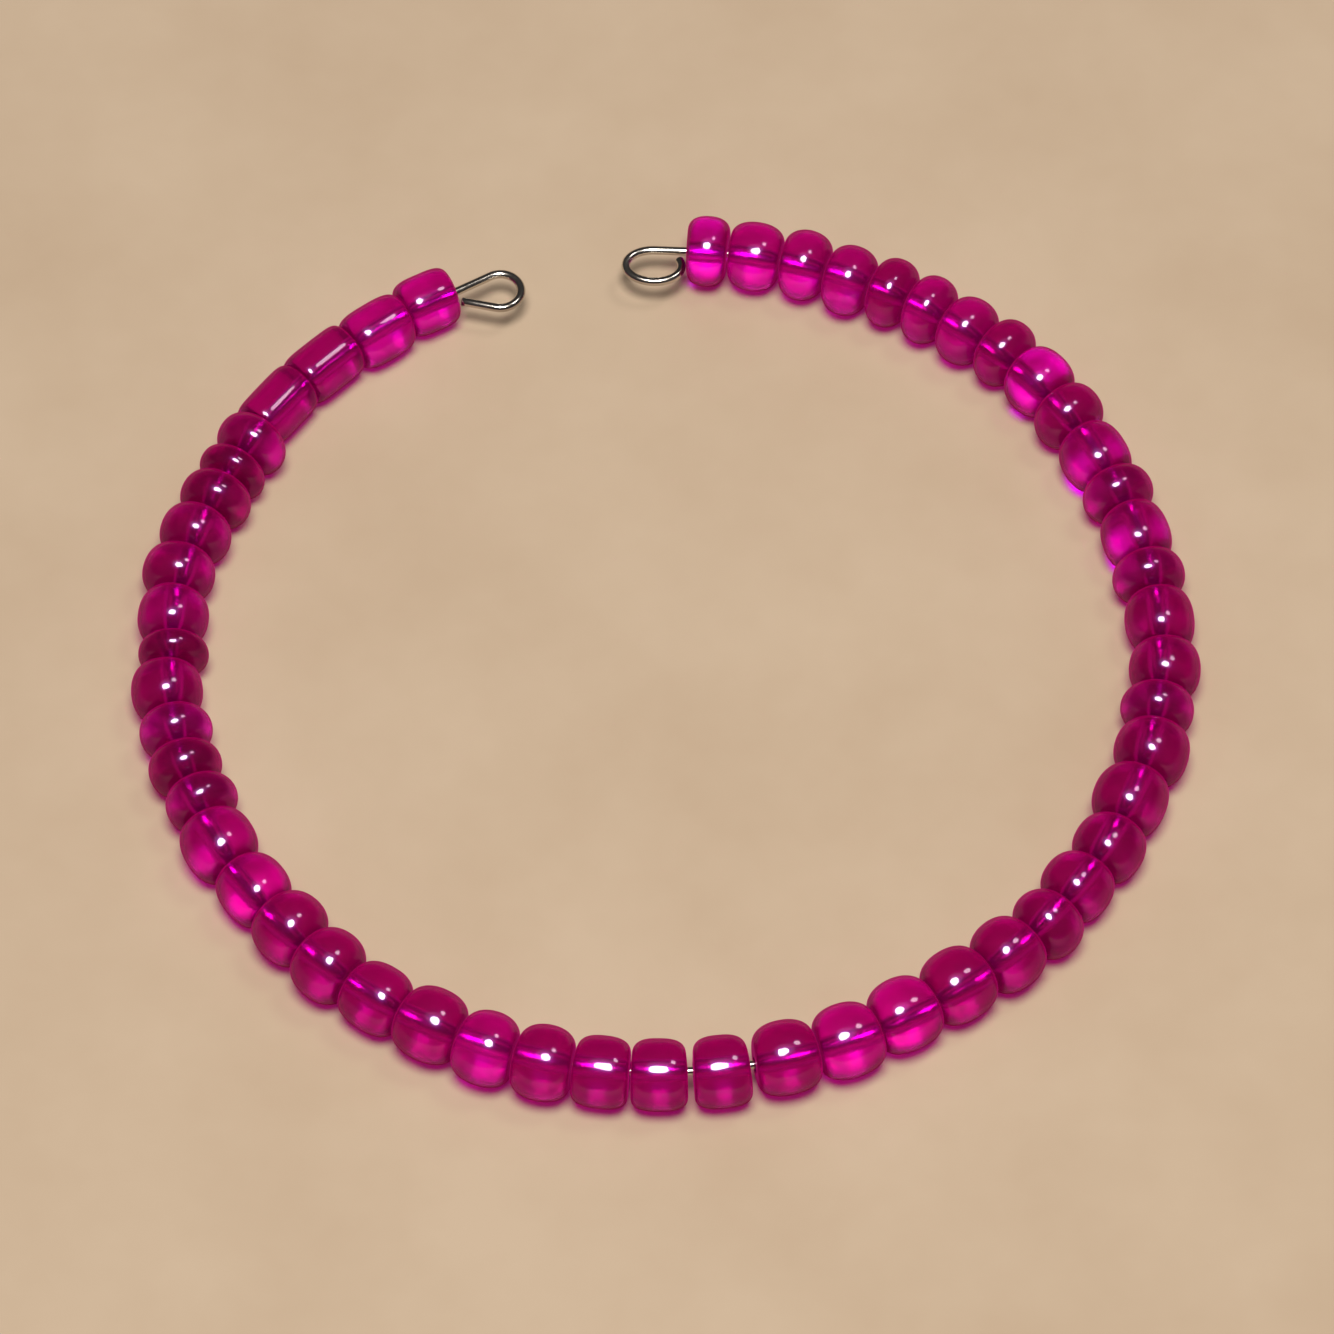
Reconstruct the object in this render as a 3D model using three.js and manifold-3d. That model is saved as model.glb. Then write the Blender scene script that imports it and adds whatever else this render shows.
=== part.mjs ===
// Open bracelet of one coil: glass beads threaded on a springy wire with a turned loop at each end.
// Millimetres, +Z up. It lies flat with its beads on z = 0 and its open side towards +Y.
// Places along the coil are degrees from the +Y side, anticlockwise seen from above.
import * as THREE from "three";
import { mergeVertices } from "three/addons/utils/BufferGeometryUtils.js";
import Module from "manifold-3d";

// Wire coil
const COIL_RADIUS = 27.5; // to the middle of the wire
const COIL_OVAL = 0.2; // how far the coil bulges out of round
const COIL_OVAL_AT = 120; // the side that it bulges to, and the side across
const WIRE_DIAMETER = 0.5;
const WIRE_HEIGHT = 2.0; // middle of the wire above the surface
const WIRE_STEP = 5; // degrees of coil to each straight length of the sweep
const WIRE_SIDES = 8;

// Turned loops: the wire leaves the bead toed out by some degrees, runs straight along its lead, turns round
// an eye towards the wrist, eyeLong by eyeWide in half sizes, and runs straight back to its cut end
const LEFT_LOOP = { way: -1, toeOut: 3, lead: 2.35, eyeLong: 1.2, eyeWide: 1.2, turn: 234, back: 1.5 };
const RIGHT_LOOP = { way: 1, toeOut: 0, lead: 1.92, eyeLong: 1.48, eyeWide: 1.12, turn: 280, back: 0 };
const EYE_STEP = 21; // degrees of eye to each straight length

// Bead forms: length along the wire, width across it, belt the share of the length that is straight,
// face the share of the radius that the flat end face takes
const FORMS = {
  t: { length: 3.85, width: 3.3, belt: 0.66, face: 0.68 }, // straight tube
  b: { length: 3.7, width: 3.6, belt: 0.45, face: 0.58 }, // slim barrel
  c: { length: 3.2, width: 3.55, belt: 0.45, face: 0.58 }, // slim short barrel
  L: { length: 3.5, width: 4.2, belt: 0.3, face: 0.46 }, // long and full
  l: { length: 3.42, width: 3.95, belt: 0.42, face: 0.5 }, // long and slimmer
  M: { length: 3.2, width: 4.25, belt: 0.34, face: 0.46 }, // middling and full
  m: { length: 3.08, width: 4.05, belt: 0.44, face: 0.5 }, // middling and slimmer
  P: { length: 2.76, width: 4.15, belt: 0.26, face: 0.46 }, // plain round
  S: { length: 2.44, width: 4.15, belt: 0.22, face: 0.46 }, // short
  w: { length: 1.85, width: 4.0, belt: 0.2, face: 0.5 }, // wafer
};
const BEAD_SIDES = 12;
const SHOULDER_STEPS = 3; // straight lengths in the round between a bead's end face and its belt
const BORE_DIAMETER = 1.2;
const SLACK = 0.2; // how far a bead sits off the wire, outwards, inwards or hanging
const FUSE = 0.08; // how far a bead runs into the next one on each side

// The beads in order from the left end, and which of them sit out (+) or in (-) from the wire
const LEFT_BEADS = "cbttS wSPPm wmSSS LlMMl LMMmm";
const LEFT_SEATS = "+.++- --.+. -+..- .--.. .++++";
const LOOSE_BEAD = "m";
const LOOSE_SEAT = "+";
const RIGHT_BEADS = "LLLLM PmmLM SmlSl SlPmS PSSPP mS";
const RIGHT_SEATS = "..--. +.+.+ .+.-- --.++ ...-. ..";
const FIRST_BEAD_AT = 26.4; // where the left string starts
const BARE_WIRE = 0.26; // wire showing on each side of the loose bead

const GLASS = { color: 0x9b0a72, roughness: 0.08, metalness: 0 };
const STEEL = { color: 0xc9c4bd, roughness: 0.2, metalness: 1 };

const wasm = await Module();
wasm.setup();

const { degToRad, radToDeg } = THREE.MathUtils;

// The coil
function coilRadius(at) {
  return COIL_RADIUS + COIL_OVAL * Math.cos(2 * degToRad(at - COIL_OVAL_AT));
}

function outwardsAt(at) {
  return new THREE.Vector3(-Math.sin(degToRad(at)), Math.cos(degToRad(at)), 0);
}

function alongAt(at) {
  return new THREE.Vector3(-Math.cos(degToRad(at)), -Math.sin(degToRad(at)), 0);
}

function coilPoint(at) {
  return outwardsAt(at).multiplyScalar(coilRadius(at)).setZ(WIRE_HEIGHT);
}

function coilPoints(from, to) {
  const steps = Math.ceil((to - from) / WIRE_STEP);
  return Array.from({ length: steps + 1 }, (_, i) => coilPoint(from + ((to - from) * i) / steps));
}

// A path with straight lengths between its points, swept with one section on each point
class BentPath extends THREE.Curve {
  constructor(points) {
    super();
    this.points = points;
  }

  getPoint(t, target = new THREE.Vector3()) {
    const place = t * (this.points.length - 1);
    const index = Math.min(Math.floor(place), this.points.length - 2);
    return target.lerpVectors(this.points[index], this.points[index + 1], place - index);
  }

  getUtoTmapping(u) {
    return u;
  }
}

function sweep(points, diameter) {
  const circle = new THREE.EllipseCurve(0, 0, diameter / 2, diameter / 2).getPoints(WIRE_SIDES);
  return new THREE.ExtrudeGeometry(new THREE.Shape(circle.slice(0, -1)), {
    steps: points.length - 1,
    bevelEnabled: false,
    extrudePath: new BentPath(points),
  });
}

// Solids for joining and cutting
function solidOf(geometry) {
  geometry.deleteAttribute("normal");
  geometry.deleteAttribute("uv");
  const merged = mergeVertices(geometry);
  const corners = merged.index.array;
  const triangles = [];
  for (let i = 0; i < corners.length; i += 3) {
    const [a, b, c] = corners.slice(i, i + 3);
    if (a !== b && b !== c && c !== a) triangles.push(a, b, c);
  }
  return new wasm.Manifold(
    new wasm.Mesh({
      numProp: 3,
      vertProperties: new Float32Array(merged.attributes.position.array),
      triVerts: new Uint32Array(triangles),
    }),
  );
}

function geometryOf(solid) {
  const mesh = solid.getMesh();
  const geometry = new THREE.BufferGeometry();
  geometry.setAttribute("position", new THREE.BufferAttribute(mesh.vertProperties, 3));
  geometry.setIndex(new THREE.BufferAttribute(mesh.triVerts, 1));
  geometry.computeVertexNormals();
  return geometry;
}

// Beads
function threaded(letters, seats, start) {
  const signs = seats.replaceAll(" ", "");
  const beads = [];
  let at = start;
  for (const letter of letters.replaceAll(" ", "")) {
    const form = FORMS[letter];
    const span = radToDeg(form.length / coilRadius(at));
    const seat = { "+": SLACK, "-": -SLACK, ".": 0 }[signs[beads.length]];
    beads.push({ form, seat, at: at + span / 2, from: at, to: at + span });
    at += span;
  }
  return beads;
}

function beadGeometry(form) {
  // The flats of the sides stand at the bead's real width, one of them underneath
  const radius = form.width / 2 / Math.cos(Math.PI / BEAD_SIDES);
  const half = form.length / 2 + FUSE;
  const face = radius * form.face;
  const belt = half * form.belt;
  const shoulder = [];
  for (let i = 0; i <= SHOULDER_STEPS; i += 1) {
    const turn = ((Math.PI / 2) * i) / SHOULDER_STEPS;
    const out = face + (radius - face) * Math.sin(turn);
    shoulder.push(new THREE.Vector2(out, belt + (half - belt) * Math.cos(turn)));
  }
  const lower = shoulder.map((point) => new THREE.Vector2(point.x, -point.y));
  const profile = [new THREE.Vector2(0, -half), ...lower, ...shoulder.reverse(), new THREE.Vector2(0, half)];
  return new THREE.LatheGeometry(profile, BEAD_SIDES, Math.PI / BEAD_SIDES);
}

function beadPlace({ form, seat, at }) {
  const out = outwardsAt(at);
  // A full bead lies on the surface, and a slim one hangs on the wire
  const height = Math.max(form.width / 2, WIRE_HEIGHT - SLACK);
  const centre = out.clone().multiplyScalar(coilRadius(at) + seat).setZ(height);
  const place = new THREE.Matrix4().makeBasis(out, alongAt(at), new THREE.Vector3(0, 0, 1));
  return place.setPosition(centre);
}

function stringGeometry(beads) {
  const solids = beads.map((bead) => solidOf(beadGeometry(bead.form).applyMatrix4(beadPlace(bead))));
  const fused = solids.reduce((string, bead) => string.add(bead));
  const past = WIRE_STEP / 2;
  const bore = sweep(coilPoints(beads[0].from - past, beads.at(-1).to + past), BORE_DIAMETER);
  return geometryOf(fused.subtract(solidOf(bore)));
}

// A loop from where the wire leaves its last bead to its cut end; way is -1 at the left end, 1 at the right
function loopPoints(at, { way, toeOut, lead, eyeLong, eyeWide, turn, back }) {
  const aim = at - way * toeOut;
  const ahead = alongAt(aim).multiplyScalar(way);
  const out = outwardsAt(aim);
  const middle = coilPoint(at).addScaledVector(ahead, lead).addScaledVector(out, -eyeWide);
  const steps = Math.ceil(turn / EYE_STEP);
  const points = [];
  for (let i = 0; i <= steps; i += 1) {
    const angle = degToRad((turn * i) / steps);
    const point = middle.clone().addScaledVector(out, eyeWide * Math.cos(angle));
    points.push(point.addScaledVector(ahead, eyeLong * Math.sin(angle)));
  }
  if (back > 0) {
    const end = degToRad(turn);
    const home = ahead.clone().multiplyScalar(eyeLong * Math.cos(end));
    home.addScaledVector(out, -eyeWide * Math.sin(end)).setLength(back);
    points.push(points.at(-1).clone().add(home));
  }
  return points;
}

function wireGeometry(from, to) {
  const left = loopPoints(from, LEFT_LOOP).reverse();
  const right = loopPoints(to, RIGHT_LOOP);
  return sweep([...left, ...coilPoints(from, to), ...right], WIRE_DIAMETER);
}

// The bracelet
function piece(name, geometry, finish) {
  const mesh = new THREE.Mesh(geometry, new THREE.MeshStandardMaterial(finish));
  mesh.name = name;
  return mesh;
}

const bareSpan = radToDeg(BARE_WIRE / COIL_RADIUS);
const leftBeads = threaded(LEFT_BEADS, LEFT_SEATS, FIRST_BEAD_AT);
const looseBeads = threaded(LOOSE_BEAD, LOOSE_SEAT, leftBeads.at(-1).to + bareSpan);
const rightBeads = threaded(RIGHT_BEADS, RIGHT_SEATS, looseBeads[0].to + bareSpan);

const bracelet = new THREE.Group();
bracelet.add(
  piece("memory_wire", wireGeometry(FIRST_BEAD_AT, rightBeads.at(-1).to), STEEL),
  piece("bead_string_left", stringGeometry(leftBeads), GLASS),
  piece("loose_bead", stringGeometry(looseBeads), GLASS),
  piece("bead_string_right", stringGeometry(rightBeads), GLASS),
);

export default bracelet;
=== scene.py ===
import math
import random
import bmesh
import bpy
from mathutils import Matrix, Vector, noise


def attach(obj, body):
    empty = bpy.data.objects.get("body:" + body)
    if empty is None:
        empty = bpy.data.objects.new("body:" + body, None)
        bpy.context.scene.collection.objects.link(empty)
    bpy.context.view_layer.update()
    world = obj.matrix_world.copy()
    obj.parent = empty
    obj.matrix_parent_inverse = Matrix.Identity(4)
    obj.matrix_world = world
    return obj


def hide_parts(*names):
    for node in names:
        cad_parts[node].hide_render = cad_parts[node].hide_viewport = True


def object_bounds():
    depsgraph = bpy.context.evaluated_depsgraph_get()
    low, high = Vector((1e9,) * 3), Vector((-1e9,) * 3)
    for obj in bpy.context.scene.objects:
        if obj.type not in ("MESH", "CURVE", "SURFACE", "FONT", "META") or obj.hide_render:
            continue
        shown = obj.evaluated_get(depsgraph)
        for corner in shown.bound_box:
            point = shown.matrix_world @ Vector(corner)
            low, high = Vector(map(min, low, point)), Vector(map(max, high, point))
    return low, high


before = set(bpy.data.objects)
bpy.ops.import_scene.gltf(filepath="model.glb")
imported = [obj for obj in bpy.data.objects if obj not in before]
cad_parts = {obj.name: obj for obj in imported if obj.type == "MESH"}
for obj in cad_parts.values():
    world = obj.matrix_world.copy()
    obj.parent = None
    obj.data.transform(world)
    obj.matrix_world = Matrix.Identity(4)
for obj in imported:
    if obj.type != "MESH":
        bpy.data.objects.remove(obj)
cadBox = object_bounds()
mm = 0.001
print("frame loaded with", len(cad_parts), "nodes")

# The coil that the wire and beads follow. Places on it are degrees from the open side (+Y),
# anticlockwise seen from above
coil = {
    "radius": 27.5 * mm,
    "oval": 0.2 * mm,       # how far it bulges out of round
    "ovalAt": 120,          # towards this side and the side across
    "height": 2.0 * mm,     # middle of the wire above the surface
}


def coilRadius(at):
    return coil["radius"] + coil["oval"] * math.cos(2 * math.radians(at - coil["ovalAt"]))


def outwardsAt(at):
    return Vector((-math.sin(math.radians(at)), math.cos(math.radians(at)), 0))


def alongAt(at):
    return Vector((-math.cos(math.radians(at)), -math.sin(math.radians(at)), 0))


def coilPoint(at):
    point = outwardsAt(at) * coilRadius(at)
    point.z = coil["height"]
    return point


# Camera and photo framing
view = {
    "elevation": 56.59,                     # degrees above the surface
    "distance": 450 * mm,
    "focalPixels": 8078,
    "imagePixels": 1334,
    "ringCentrePixel": (665.8, 647.8),      # where the coil's middle stands, from the top left
    "sensor": 36,                           # millimetres
    "clip": (0.01, 10),                     # nearest and farthest metres that show
}


def makeCamera():
    tilt = math.radians(view["elevation"])
    ahead = Vector((0, math.cos(tilt), -math.sin(tilt)))
    right = Vector((1, 0, 0))
    up = right.cross(ahead)
    perPixel = view["distance"] / view["focalPixels"]
    middle = view["imagePixels"] / 2
    ringX, ringY = view["ringCentrePixel"]
    offset = right * (middle - ringX) - up * (middle - ringY)
    aim = Vector((0, 0, coil["height"])) + offset * perPixel
    data = bpy.data.cameras.new("photoView")
    data.sensor_width = view["sensor"]
    data.lens = view["sensor"] * view["focalPixels"] / view["imagePixels"]
    data.clip_start, data.clip_end = view["clip"]
    camera = bpy.data.objects.new("photoView", data)
    bpy.context.scene.collection.objects.link(camera)
    camera.location = aim - ahead * view["distance"]
    camera.rotation_mode = "QUATERNION"
    camera.rotation_quaternion = ahead.to_track_quat("-Z", "Y")
    bpy.context.scene.camera = camera


makeCamera()
print("camera placed")


# Node helpers
def newMaterial(name):
    material = bpy.data.materials.new(name)
    material.use_nodes = True
    material.node_tree.nodes.clear()
    return material, material.node_tree.nodes, material.node_tree.links


def setInputs(node, values):
    for key, value in values.items():
        node.inputs[key].default_value = value


def addNode(nodes, kind, at, **values):
    node = nodes.new(kind)
    node.location = at
    setInputs(node, values)
    return node


def addRange(nodes, at, span, results=(0.0, 1.0)):
    return addNode(nodes, "ShaderNodeMapRange", at, **{
        "From Min": span[0], "From Max": span[1], "To Min": results[0], "To Max": results[1],
    })


def addColourMix(nodes, at, **colours):
    mix = addNode(nodes, "ShaderNodeMix", at)
    mix.data_type = "RGBA"      # before the colours, because it picks their sockets
    setInputs(mix, colours)
    return mix


def addMath(nodes, at, operation):
    node = addNode(nodes, "ShaderNodeMath", at)
    node.operation = operation
    node.use_clamp = True
    return node


# Uneven surface, shared by the glass, the steel and the floor: slow lumps for height,
# and smudges that move the roughness between two values
unevenLook = {
    "lumps": {"Detail": 1.5, "Roughness": 0.45},
    "smudges": {"Detail": 4.0, "Roughness": 0.6},
    "smudgeSpan": (0.35, 0.7),      # of the noise, from clean to fully smudged
}


def makeUnevenGroup():
    group = bpy.data.node_groups.new("unevenSurface", "ShaderNodeTree")
    sockets = [
        ("Vector", "INPUT", "NodeSocketVector"),
        ("Lump Scale", "INPUT", "NodeSocketFloat"),
        ("Smudge Scale", "INPUT", "NodeSocketFloat"),
        ("Least Roughness", "INPUT", "NodeSocketFloat"),
        ("Most Roughness", "INPUT", "NodeSocketFloat"),
        ("Height", "OUTPUT", "NodeSocketFloat"),
        ("Roughness", "OUTPUT", "NodeSocketFloat"),
        ("Smudge", "OUTPUT", "NodeSocketFloat"),
    ]
    for name, way, kind in sockets:
        group.interface.new_socket(name=name, in_out=way, socket_type=kind)
    nodes, links = group.nodes, group.links
    source = addNode(nodes, "NodeGroupInput", (-700, 0))
    sink = addNode(nodes, "NodeGroupOutput", (500, 0))
    lumps = addNode(nodes, "ShaderNodeTexNoise", (-350, 200), **unevenLook["lumps"])
    smudge = addNode(nodes, "ShaderNodeTexNoise", (-350, -150), **unevenLook["smudges"])
    spread = addRange(nodes, (-100, -150), unevenLook["smudgeSpan"])
    rough = addNode(nodes, "ShaderNodeMapRange", (200, -250))
    links.new(source.outputs["Vector"], lumps.inputs["Vector"])
    links.new(source.outputs["Vector"], smudge.inputs["Vector"])
    links.new(source.outputs["Lump Scale"], lumps.inputs["Scale"])
    links.new(source.outputs["Smudge Scale"], smudge.inputs["Scale"])
    links.new(smudge.outputs["Fac"], spread.inputs["Value"])
    links.new(spread.outputs["Result"], rough.inputs["Value"])
    links.new(source.outputs["Least Roughness"], rough.inputs["To Min"])
    links.new(source.outputs["Most Roughness"], rough.inputs["To Max"])
    links.new(lumps.outputs["Fac"], sink.inputs["Height"])
    links.new(rough.outputs["Result"], sink.inputs["Roughness"])
    links.new(spread.outputs["Result"], sink.inputs["Smudge"])
    return group


unevenGroup = makeUnevenGroup()


def addUneven(nodes, at, values):
    node = addNode(nodes, "ShaderNodeGroup", at)
    node.node_tree = unevenGroup
    setInputs(node, values)
    return node


# Magenta glass in four depths of colour, each with its own painted caustic: the colour that shadow rays take
# through a bead, which throws painted light under its middle and painted shadow under its edges. The
# absorption takes the green out within a millimetre.
# A fade is a pair of Facing values: 0 where the surface faces the viewer or the lamp, 1 at the outline
glassLook = {
    "glass": {
        "Transmission Weight": 1.0,
        "IOR": 1.5,
        "Specular IOR Level": 1.6,
        "Specular Tint": (0.5, 0.08, 1.0, 1),   # violet of its own reflections
    },
    "absorb": (0.966, 0.0, 0.942, 1),
    "clear": (0.97, 0.16, 0.88, 1),
    "streak": (0.9, 0.08, 0.8, 1),
    "streaks": {"Scale": 420.0, "Detail": 2.0, "Distortion": 0.8},
    "surface": {"Lump Scale": 620.0, "Smudge Scale": 400.0, "Least Roughness": 0.22, "Most Roughness": 0.27},
    "bump": {"Strength": 0.25, "Distance": 0.06 * mm},
    "boreTint": (0.95, 0.25, 0.85, 1),
    "boreRoughness": 0.1,
    "coat": {"Coat Roughness": 0.02, "Coat IOR": 1.5},
    "coatWeights": (1.0, 0.05),             # smooth coat facing the viewer, and towards the outline
    "coatFade": (0.1, 0.3),
    "milk": {
        "Base Color": (0.27, 0.0, 0.066, 1),
        "Roughness": 0.3,
        "Specular IOR Level": 0.0,
        "Sheen Weight": 0.35,               # lifts the outline of a bead, which the lamp reaches least
        "Sheen Roughness": 0.35,
        "Sheen Tint": (1.0, 0.02, 0.4, 1),
    },
    "milkShares": (0.28, 1.0),              # of the body, facing the viewer and at the outline
    "milkFade": (0.3, 0.85),
    "paintedEdgeShadow": (0.6, 0.28, 0.6, 1),      # painted shadow: lamplight that shadow rays pass dimmed where they cross the edges of a bead
    "causticFade": (0.0, 0.09),
    "depths": {
        "plain": {"density": 4200, "paintedCaustic": (1.0, 0.7, 1.35, 1)},   # painted caustic: lamplight that shadow rays pass boosted or dimmed under the middle of a bead
        "dark": {"density": 6500, "paintedCaustic": (0.8, 0.6, 0.9, 1)},
        "light": {"density": 3200, "paintedCaustic": (2.4, 1.3, 3.3, 1)},
        # the window depth throws the strongest painted caustic, seen as a bright window in the lower half of
        # a bead
        "window": {"density": 5400, "paintedCaustic": (7.0, 2.4, 14.0, 1)},
    },
}


def glassMaterial(name, look):
    material, nodes, links = newMaterial(name)
    place = addNode(nodes, "ShaderNodeTexCoord", (-1200, 0))
    facing = addNode(nodes, "ShaderNodeLayerWeight", (-1200, -600), Blend=0.5)
    boreWall = addNode(nodes, "ShaderNodeAttribute", (-950, 0))
    boreWall.attribute_name = "boreWall"

    # Clear glass: faint streaks, an uneven surface, and a smoother bore wall of its own tint
    streak = addNode(nodes, "ShaderNodeTexNoise", (-950, 200), **glassLook["streaks"])
    tint = addColourMix(nodes, (-600, 200), A=glassLook["clear"], B=glassLook["streak"])
    inBore = addColourMix(nodes, (-420, 200), B=glassLook["boreTint"])
    uneven = addUneven(nodes, (-950, -200), glassLook["surface"])
    rough = addNode(nodes, "ShaderNodeMix", (-600, 0), B=glassLook["boreRoughness"])
    bump = addNode(nodes, "ShaderNodeBump", (-600, -300), **glassLook["bump"])
    glass = addNode(nodes, "ShaderNodeBsdfPrincipled", (-250, 100), **glassLook["glass"])
    glass.distribution = "GGX"
    links.new(place.outputs["Object"], streak.inputs["Vector"])
    links.new(streak.outputs["Fac"], tint.inputs["Factor"])
    links.new(boreWall.outputs["Fac"], inBore.inputs["Factor"])
    links.new(tint.outputs["Result"], inBore.inputs["A"])
    links.new(inBore.outputs["Result"], glass.inputs["Base Color"])
    links.new(place.outputs["Object"], uneven.inputs["Vector"])
    links.new(boreWall.outputs["Fac"], rough.inputs["Factor"])
    links.new(uneven.outputs["Roughness"], rough.inputs["A"])
    links.new(rough.outputs["Result"], glass.inputs["Roughness"])
    links.new(uneven.outputs["Height"], bump.inputs["Height"])
    links.new(bump.outputs["Normal"], glass.inputs["Normal"])

    # Milky share, more towards the outline, and none inside the glass or on the bore wall
    milky = addNode(nodes, "ShaderNodeBsdfPrincipled", (-250, 900), **glassLook["milk"])
    share = addRange(nodes, (-600, 500), glassLook["milkFade"], glassLook["milkShares"])
    sides = addNode(nodes, "ShaderNodeNewGeometry", (-600, 700))
    inside = addMath(nodes, (-420, 700), "MAXIMUM")
    fromOutside = addMath(nodes, (-420, 500), "SUBTRACT")
    body = addNode(nodes, "ShaderNodeMixShader", (0, 250))
    links.new(facing.outputs["Facing"], share.inputs["Value"])
    links.new(sides.outputs["Backfacing"], inside.inputs[0])
    links.new(boreWall.outputs["Fac"], inside.inputs[1])
    links.new(share.outputs["Result"], fromOutside.inputs[0])
    links.new(inside.outputs["Value"], fromOutside.inputs[1])
    links.new(fromOutside.outputs["Value"], body.inputs["Fac"])
    links.new(glass.outputs["BSDF"], body.inputs[1])
    links.new(milky.outputs["BSDF"], body.inputs[2])

    # Smooth coat on both, which carries the lamps' sharp glints
    rim = addRange(nodes, (-600, -450), glassLook["coatFade"], glassLook["coatWeights"])
    links.new(facing.outputs["Facing"], rim.inputs["Value"])
    for shader in (glass, milky):
        setInputs(shader, glassLook["coat"])
        links.new(rim.outputs["Result"], shader.inputs["Coat Weight"])

    # Painted caustic and painted shadow: shadow rays through a bead pass lamplight boosted under its middle
    # and dimmed at its edges, in place of light that refraction would focus
    toEdge = addRange(nodes, (-950, -600), glassLook["causticFade"])
    causticMix = addColourMix(nodes, (-600, -600), A=look["paintedCaustic"], B=glassLook["paintedEdgeShadow"])
    through = addColourMix(nodes, (-420, -600), B=(1, 1, 1, 1))     # the bore wall takes none of it
    lampSide = addNode(nodes, "ShaderNodeBsdfTransparent", (-250, -550))
    path = addNode(nodes, "ShaderNodeLightPath", (-250, 450))
    pick = addNode(nodes, "ShaderNodeMixShader", (150, 100))
    links.new(facing.outputs["Facing"], toEdge.inputs["Value"])
    links.new(toEdge.outputs["Result"], causticMix.inputs["Factor"])
    links.new(boreWall.outputs["Fac"], through.inputs["Factor"])
    links.new(causticMix.outputs["Result"], through.inputs["A"])
    links.new(through.outputs["Result"], lampSide.inputs["Color"])
    links.new(path.outputs["Is Shadow Ray"], pick.inputs["Fac"])
    links.new(body.outputs["Shader"], pick.inputs[1])
    links.new(lampSide.outputs["BSDF"], pick.inputs[2])

    depth = addNode(nodes, "ShaderNodeVolumeAbsorption", (150, -200), Color=glassLook["absorb"],
                    Density=look["density"])
    out = addNode(nodes, "ShaderNodeOutputMaterial", (450, 0))
    links.new(pick.outputs["Shader"], out.inputs["Surface"])
    links.new(depth.outputs["Volume"], out.inputs["Volume"])
    return material


glassMaterials = {
    depth: glassMaterial(depth + "MagentaGlass", look)
    for depth, look in glassLook["depths"].items()
}
print("glass mixed in", len(glassMaterials), "depths")


# Beads. Lengths and widths in millimetres; square is 2 for a round swell and more for a straighter side,
# face the share of the radius that the flat end takes
beadForms = {
    "t": {"length": 3.85, "width": 3.3, "square": 4.8, "face": 0.62},   # straight tube
    "b": {"length": 3.7, "width": 3.6, "square": 3.2, "face": 0.54},    # slim barrel
    "c": {"length": 3.2, "width": 3.55, "square": 3.2, "face": 0.54},   # slim short barrel
    "L": {"length": 3.5, "width": 4.2, "square": 2.2, "face": 0.5},     # long and full
    "l": {"length": 3.42, "width": 3.95, "square": 2.3, "face": 0.5},   # long and slimmer
    "M": {"length": 3.2, "width": 4.25, "square": 2.15, "face": 0.5},   # middling and full
    "m": {"length": 3.08, "width": 4.05, "square": 2.2, "face": 0.48},  # middling and slimmer
    "f": {"length": 3.08, "width": 4.05, "square": 2.7, "face": 0.54},  # the same with straighter sides
    "P": {"length": 2.76, "width": 4.15, "square": 2.1, "face": 0.46},  # plain round
    "S": {"length": 2.44, "width": 4.15, "square": 2.1, "face": 0.46},  # short
    "s": {"length": 2.44, "width": 4.15, "square": 2.3, "face": 0.54},  # the same with straighter sides
    "w": {"length": 1.85, "width": 4.0, "square": 2.2, "face": 0.44},   # wafer
}
# Each string in order from the left end, a letter or sign for every bead
stringing = {
    "left": {
        "forms": "cbttS wSPPm wmSSS LlMMl LMMff",
        "seats": "+.++- --.+. -+..- .--.. .++++",
        "depths": "ll... dd..l d.ld. ll... .l...",
    },
    "loose": {"forms": "f", "seats": "+", "depths": "."},
    "right": {
        "forms": "LLLLM PmmLM SmlSl SlPmS PSSPP ms",
        "seats": "..--. +.+.+ .+.-- --.++ ...-. ..",
        "depths": ".ll.. ..... ....w .w.w. ll.ll lw",
    },
    "seatSigns": {"+": 1, "-": -1, ".": 0},     # + sits out from the wire, - sits in
    "depthLetters": {".": "plain", "d": "dark", "l": "light", "w": "window"},
    "slack": 0.2 * mm,      # how far a bead sits off the wire, outwards, inwards or hanging
    "firstAt": 26.4,        # where the left string starts
    "bareWire": 0.26 * mm,  # wire showing on each side of the loose bead
}
beadLook = {
    "sides": 56,
    "sideSteps": 16,        # from the end face to the middle
    "mouthSteps": 4,
    "bore": 0.4 * mm,       # radius of the hole
    "mouth": 0.14 * mm,     # round at the edge of the hole
    "gap": 0.05 * mm,       # between neighbours, whose ends follow the coil and all but meet
    "mouthMargin": 1.05,    # finds the vertices of the hole and its mouth
    "merge": 0.0005 * mm,   # closes the seam of the spin
    "lump": 0.022 * mm,     # unevenness of the hand-drawn glass
    "lumpSize": 1.7 * mm,
    "lumpInwards": 0.8,     # moves the lumps inwards, within the bead's width
    "lumpField": 50,        # noise that each bead takes its own place in
    "lean": 0.8,            # degrees that a bead leans on its wire
    "oval": 0.012,          # most that a bead is squeezed one way
    "ovalAcross": 0.3,      # share of that squeeze the other way
    "slant": 0.03,          # of the length, at one side of an end
    "seed": 53,
}


def threaded(string, start):
    beads = []
    at = start
    forms, seats, depths = [string[row].replace(" ", "") for row in ("forms", "seats", "depths")]
    for letter, seat, depth in zip(forms, seats, depths):
        form = beadForms[letter]
        span = math.degrees(form["length"] * mm / coilRadius(at))
        beads.append({
            "form": form,
            "radius": form["width"] * mm / 2,
            "seat": stringing["seatSigns"][seat] * stringing["slack"],
            "depth": stringing["depthLetters"][depth],
            "at": at + span / 2,
            "to": at + span,
        })
        at += span
    return beads


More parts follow.
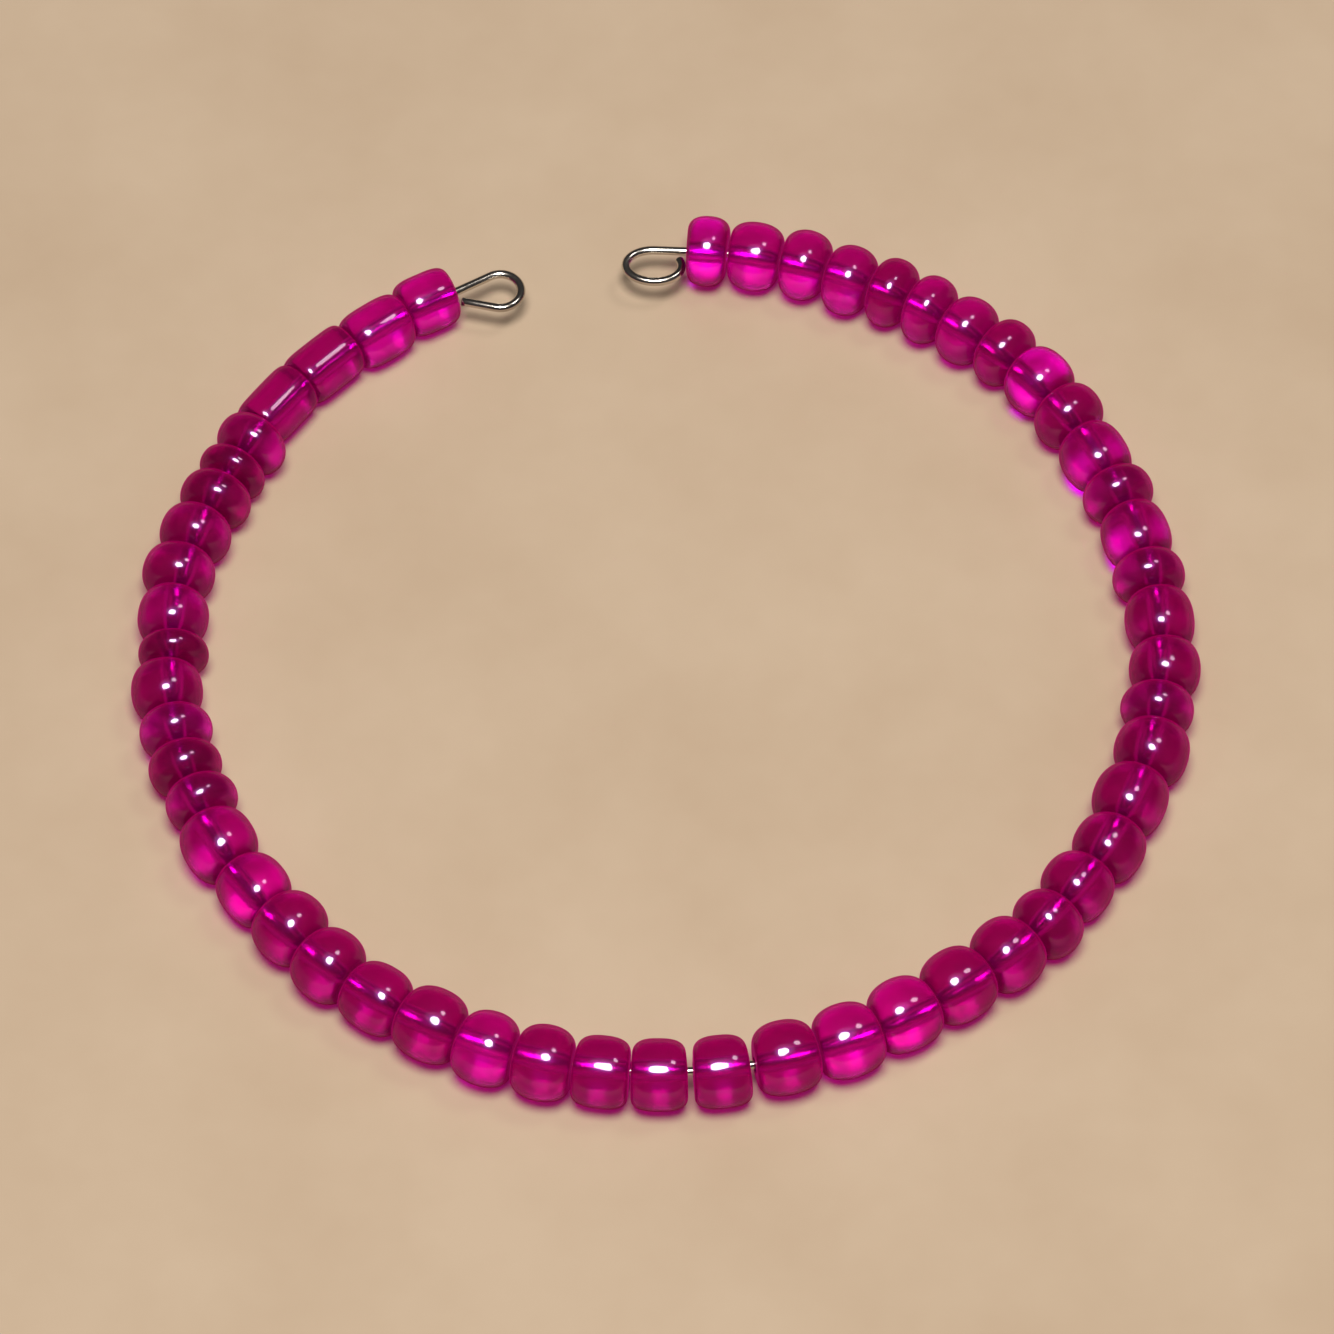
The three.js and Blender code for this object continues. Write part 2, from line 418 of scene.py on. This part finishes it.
def beadOutline(form, radius):
    face = radius * form["face"]
    half = (form["length"] * mm - beadLook["gap"]) / 2
    mouth = beadLook["mouth"]
    bore = beadLook["bore"]
    upper = []
    for i in range(beadLook["mouthSteps"] + 1):
        turn = math.pi / 2 * i / beadLook["mouthSteps"]
        upper.append((bore + mouth * (1 - math.cos(turn)), half - mouth * (1 - math.sin(turn))))
    for i in range(beadLook["sideSteps"]):
        turn = math.pi / 2 * i / beadLook["sideSteps"]
        reach = face + (radius - face) * math.sin(turn) ** (2 / form["square"])
        upper.append((reach, half * math.cos(turn) ** (2 / form["square"])))
    lower = [(reach, -height) for reach, height in reversed(upper)]
    return upper + [(radius, 0)] + lower


def spinBead(bead):
    bm = bmesh.new()
    boreWall = bm.verts.layers.float.new("boreWall")
    profile = beadOutline(bead["form"], bead["radius"])
    outline = [bm.verts.new((reach, 0, height)) for reach, height in profile]
    for vert in outline:
        vert[boreWall] = vert.co.x < beadLook["bore"] + beadLook["mouth"] / 2
    edges = [bm.edges.new(pair) for pair in zip(outline, outline[1:] + outline[:1])]
    bmesh.ops.spin(bm, geom=outline + edges, cent=(0, 0, 0), axis=(0, 0, 1), dvec=(0, 0, 0),
                   angle=2 * math.pi, steps=beadLook["sides"], use_merge=True)
    bmesh.ops.remove_doubles(bm, verts=bm.verts, dist=beadLook["merge"])
    bmesh.ops.recalc_face_normals(bm, faces=bm.faces)
    bm.normal_update()
    return bm


# Hand-drawn glass: ends a little out of square, lumps, slightly out of round
def roughenBead(bm, bead, draw):
    where = Vector([draw.uniform(0, beadLook["lumpField"]) for axis in range(3)])
    slants = [(draw.uniform(0, 2 * math.pi), draw.uniform(0, beadLook["slant"])) for end in range(2)]
    for vert in bm.verts:
        around = math.atan2(vert.co.y, vert.co.x)
        toward, amount = slants[vert.co.z > 0]
        reach = vert.co.xy.length
        vert.co.z *= 1 - amount * (0.5 + 0.5 * math.cos(around - toward)) * reach / bead["radius"]
        if reach > beadLook["bore"] + beadLook["mouth"]:
            lump = noise.noise(vert.co / beadLook["lumpSize"] + where) - beadLook["lumpInwards"]
            vert.co += vert.normal * lump * beadLook["lump"]
    squeeze = draw.uniform(0, beadLook["oval"])
    bmesh.ops.scale(bm, vec=(1 - squeeze, 1 - squeeze * beadLook["ovalAcross"], 1), verts=bm.verts)


# Its axis goes along the coil. A full bead lies on the surface, and a slim one hangs on the wire
def threadBead(bm, bead, draw):
    at = bead["at"]
    height = max(bead["radius"], coil["height"] - stringing["slack"])
    mouthReach = beadLook["bore"] + beadLook["mouthMargin"] * beadLook["mouth"]
    inner = [vert for vert in bm.verts if vert.co.xy.length < mouthReach]
    turned = Matrix.Rotation(draw.uniform(0, 2 * math.pi), 3, "Z")
    bmesh.ops.rotate(bm, matrix=turned, verts=bm.verts)
    for vert in bm.verts:       # ends that follow the coil, longer on its outer side
        vert.co.z *= 1 + (vert.co.x + bead["seat"]) / coil["radius"]
    # The bore stays round the wire where the bead sits off it
    bmesh.ops.translate(bm, vec=(-bead["seat"], coil["height"] - height, 0), verts=inner)
    out = outwardsAt(at)
    centre = out * (coilRadius(at) + bead["seat"])
    centre.z = height
    basis = Matrix((out, Vector((0, 0, 1)), alongAt(at))).transposed()
    lean = Matrix.Rotation(math.radians(draw.uniform(-1, 1) * beadLook["lean"]), 3, "Z")
    bmesh.ops.transform(bm, matrix=(lean @ basis).to_4x4(), verts=bm.verts)
    bmesh.ops.translate(bm, vec=centre, verts=bm.verts)
    bmesh.ops.reverse_faces(bm, faces=bm.faces)     # out, up and along are left-handed


def makeBead(number, bead, draw):
    bm = spinBead(bead)
    roughenBead(bm, bead, draw)
    threadBead(bm, bead, draw)
    return finishPiece(f"bead_{number:02d}", bm, glassMaterials[bead["depth"]])


def finishPiece(name, bm, material):
    mesh = bpy.data.meshes.new(name)
    for face in bm.faces:
        face.smooth = True
    bm.to_mesh(mesh)
    bm.free()
    mesh.materials.append(material)
    piece = bpy.data.objects.new(name, mesh)
    bpy.context.scene.collection.objects.link(piece)
    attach(piece, "root")
    return piece


bareSpan = math.degrees(stringing["bareWire"] / coil["radius"])
leftBeads = threaded(stringing["left"], stringing["firstAt"])
looseBeads = threaded(stringing["loose"], leftBeads[-1]["to"] + bareSpan)
rightBeads = threaded(stringing["right"], looseBeads[-1]["to"] + bareSpan)
lastAt = rightBeads[-1]["to"]
strings = {"bead_string_left": leftBeads, "loose_bead": looseBeads, "bead_string_right": rightBeads}
draw = random.Random(beadLook["seed"])
beadCount = 0
for node, beads in strings.items():
    for bead in beads:
        beadCount += 1
        piece = makeBead(beadCount, bead, draw)
        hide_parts(node)
print(beadCount, "beads threaded")


# Drawn steel, its fine streaks running with the wire
steelLook = {
    "bright": (0.62, 0.58, 0.53, 1),
    "dull": (0.36, 0.33, 0.3, 1),
    "stretch": (1, 1, 0.04),        # draws the streaks out along the wire
    "streaks": {"Scale": 3200.0, "Detail": 4.0, "Roughness": 0.6},
    "dullSpan": (0.48, 0.72),       # of the noise, from bright to dull
    "surface": {"Lump Scale": 1500.0, "Smudge Scale": 700.0, "Least Roughness": 0.1, "Most Roughness": 0.26},
    "bump": {"Strength": 0.2, "Distance": 0.02 * mm},
}


def steelMaterial():
    material, nodes, links = newMaterial("drawnSteel")
    grain = addNode(nodes, "ShaderNodeAttribute", (-1300, 0))
    grain.attribute_name = "wireGrain"
    stretch = addNode(nodes, "ShaderNodeMapping", (-1100, 0), Scale=steelLook["stretch"])
    streaks = addNode(nodes, "ShaderNodeTexNoise", (-850, 150), **steelLook["streaks"])
    few = addRange(nodes, (-650, 350), steelLook["dullSpan"])
    colour = addColourMix(nodes, (-500, 200), A=steelLook["bright"], B=steelLook["dull"])
    uneven = addUneven(nodes, (-850, -250), steelLook["surface"])
    bump = addNode(nodes, "ShaderNodeBump", (-500, -250), **steelLook["bump"])
    steel = addNode(nodes, "ShaderNodeBsdfPrincipled", (-150, 0), Metallic=1.0)
    out = addNode(nodes, "ShaderNodeOutputMaterial", (200, 0))
    links.new(grain.outputs["Vector"], stretch.inputs["Vector"])
    links.new(stretch.outputs["Vector"], streaks.inputs["Vector"])
    links.new(grain.outputs["Vector"], uneven.inputs["Vector"])
    links.new(streaks.outputs["Fac"], few.inputs["Value"])
    links.new(few.outputs["Result"], colour.inputs["Factor"])
    links.new(colour.outputs["Result"], steel.inputs["Base Color"])
    links.new(uneven.outputs["Roughness"], steel.inputs["Roughness"])
    links.new(streaks.outputs["Fac"], bump.inputs["Height"])
    links.new(bump.outputs["Normal"], steel.inputs["Normal"])
    links.new(steel.outputs["BSDF"], out.inputs["Surface"])
    return material


# Wire with a turned loop at each end. A loop leaves its bead toed out by some degrees, runs straight along
# its lead, turns round an eye towards the wrist and runs straight back to its cut end. Way is -1 at the left
# end and 1 at the right, turn is in degrees, and lengths are in millimetres
wire = {
    "radius": 0.25 * mm,
    "sides": 20,
    "step": 1.5,            # degrees of coil to each length
    "eyeStep": 6,           # degrees of eye to each length
    "endRound": 0.05 * mm,
    "endSegments": 3,
    "left": {"way": -1, "toeOut": 3, "lead": 2.35, "eyeLong": 1.2, "eyeWide": 1.2, "turn": 225, "back": 1.92},
    "right": {"way": 1, "toeOut": 0, "lead": 1.82, "eyeLong": 1.6, "eyeWide": 1.12, "turn": 298, "back": 0},
}


def loopPoints(at, loop):
    aim = at - loop["way"] * loop["toeOut"]
    ahead = alongAt(aim) * loop["way"]
    out = outwardsAt(aim)
    middle = coilPoint(at) + ahead * loop["lead"] * mm - out * loop["eyeWide"] * mm
    steps = math.ceil(loop["turn"] / wire["eyeStep"])
    points = []
    for i in range(steps + 1):
        angle = math.radians(loop["turn"] * i / steps)
        points.append(middle + out * loop["eyeWide"] * mm * math.cos(angle)
                      + ahead * loop["eyeLong"] * mm * math.sin(angle))
    if loop["back"]:
        points.append(points[-1] + (points[-1] - points[-2]).normalized() * loop["back"] * mm)
    return points


def coilPoints(start, end):
    steps = math.ceil((end - start) / wire["step"])
    return [coilPoint(start + (end - start) * i / steps) for i in range(steps + 1)]


def drawWire(name, points):
    bm = bmesh.new()
    grain = bm.verts.layers.float_vector.new("wireGrain")   # round the wire in x and y, along it in z
    direction = (points[1] - points[0]).normalized()
    place = Matrix.Translation(points[0]) @ direction.to_track_quat("Z", "Y").to_matrix().to_4x4()
    ring = bmesh.ops.create_circle(bm, segments=wire["sides"], radius=wire["radius"], matrix=place)["verts"]
    for i, vert in enumerate(ring):
        angle = 2 * math.pi * i / wire["sides"]
        vert[grain] = Vector((math.cos(angle), math.sin(angle), 0)) * wire["radius"]
    edges = list(bm.edges)
    run = 0
    for i in range(1, len(points)):
        step = points[i] - points[i - 1]
        bend = Matrix.Identity(3)
        if i < len(points) - 1:
            after = points[i + 1] - points[i]
            following = (step.normalized() + after.normalized()).normalized()
            bend = direction.rotation_difference(following).to_matrix()
            direction = following
        made = bmesh.ops.extrude_edge_only(bm, edges=edges)["geom"]
        ring = [item for item in made if isinstance(item, bmesh.types.BMVert)]
        edges = [item for item in made if isinstance(item, bmesh.types.BMEdge)]
        bmesh.ops.translate(bm, vec=step, verts=ring)
        bmesh.ops.rotate(bm, cent=points[i], matrix=bend, verts=ring)
        run += step.length
        for vert in ring:
            vert[grain] = Vector((vert[grain].x, vert[grain].y, run))
    bmesh.ops.holes_fill(bm, edges=[edge for edge in bm.edges if edge.is_boundary], sides=wire["sides"])
    caps = [face for face in bm.faces if len(face.verts) == wire["sides"]]
    rims = list({edge for face in caps for edge in face.edges})
    bmesh.ops.bevel(bm, geom=rims, offset=wire["endRound"], segments=wire["endSegments"], profile=0.5,
                    affect="EDGES", material=-1)
    bmesh.ops.recalc_face_normals(bm, faces=bm.faces)
    return finishPiece(name, bm, steelMaterial())


leftEnd = list(reversed(loopPoints(stringing["firstAt"], wire["left"])))
rightEnd = loopPoints(lastAt, wire["right"])
wirePiece = drawWire("coil_wire", leftEnd + coilPoints(stringing["firstAt"], lastAt) + rightEnd)
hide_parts("memory_wire")
print("wire drawn and its loops turned")


# Pale floor
floorLook = {
    "size": 3.0,
    "drop": 0.02 * mm,      # keeps it just clear of the beads
    "pale": (0.46, 0.36, 0.26, 1),
    "warm": (0.42, 0.32, 0.225, 1),
    "specular": 0.1,
    "surface": {"Lump Scale": 900.0, "Smudge Scale": 60.0, "Least Roughness": 0.85, "Most Roughness": 0.95},
}


def floorMaterial():
    material, nodes, links = newMaterial("paleFloor")
    place = addNode(nodes, "ShaderNodeTexCoord", (-900, 0))
    uneven = addUneven(nodes, (-650, 0), floorLook["surface"])
    colour = addColourMix(nodes, (-350, 150), A=floorLook["pale"], B=floorLook["warm"])
    floor = addNode(nodes, "ShaderNodeBsdfPrincipled", (-100, 0))
    floor.inputs["Specular IOR Level"].default_value = floorLook["specular"]
    out = addNode(nodes, "ShaderNodeOutputMaterial", (250, 0))
    links.new(place.outputs["Object"], uneven.inputs["Vector"])
    links.new(uneven.outputs["Smudge"], colour.inputs["Factor"])
    links.new(colour.outputs["Result"], floor.inputs["Base Color"])
    links.new(uneven.outputs["Roughness"], floor.inputs["Roughness"])
    links.new(floor.outputs["BSDF"], out.inputs["Surface"])
    return material


def makeFloor():
    bm = bmesh.new()
    bmesh.ops.create_grid(bm, x_segments=1, y_segments=1, size=floorLook["size"] / 2)
    bmesh.ops.translate(bm, vec=(0, 0, cadBox[0].z - floorLook["drop"]), verts=bm.verts)
    mesh = bpy.data.meshes.new("floor")
    bm.to_mesh(mesh)
    bm.free()
    mesh.materials.append(floorMaterial())
    piece = bpy.data.objects.new("floor", mesh)
    bpy.context.scene.collection.objects.link(piece)


makeFloor()
print("floor laid")


# Studio light: a small lamp nearly overhead, a faint soft panel round it, and a smaller lamp to the right.
# Azimuths run from the front (-Y) towards the right
lights = {
    "reach": 0.7,           # metres from the coil's middle
    "lamps": [
        {"name": "mainLamp", "azimuth": 0, "elevation": 76, "size": 0.28, "radiance": 31},
        {"name": "softPanel", "azimuth": 0, "elevation": 80, "size": 0.50, "radiance": 0.5},
        {"name": "sideLamp", "azimuth": 116, "elevation": 65.5, "size": 0.16, "radiance": 10},
    ],
    "warmWhite": (1.0, 0.95, 0.9),
    "room": (0.045, 0.043, 0.043, 1),
}


def makeLights():
    for lamp in lights["lamps"]:
        azimuth = math.radians(lamp["azimuth"])
        elevation = math.radians(lamp["elevation"])
        level = Vector((math.sin(azimuth), -math.cos(azimuth), 0))
        toward = level * math.cos(elevation) + Vector((0, 0, math.sin(elevation)))
        data = bpy.data.lights.new(lamp["name"], "AREA")
        data.shape = "DISK"
        data.size = lamp["size"]
        area = math.pi * (lamp["size"] / 2) ** 2
        data.energy = lamp["radiance"] * math.pi * area
        data.color = lights["warmWhite"]
        light = bpy.data.objects.new(lamp["name"], data)
        bpy.context.scene.collection.objects.link(light)
        light.location = toward * lights["reach"]
        light.rotation_mode = "QUATERNION"
        light.rotation_quaternion = toward.to_track_quat("Z", "Y")
    world = bpy.data.worlds.new("room")
    bpy.context.scene.world = world
    world.use_nodes = True
    world.node_tree.nodes["Background"].inputs["Color"].default_value = lights["room"]


makeLights()
scene = bpy.context.scene
scene.view_settings.view_transform = "Standard"
scene.cycles.use_denoising = True
print("lights set")
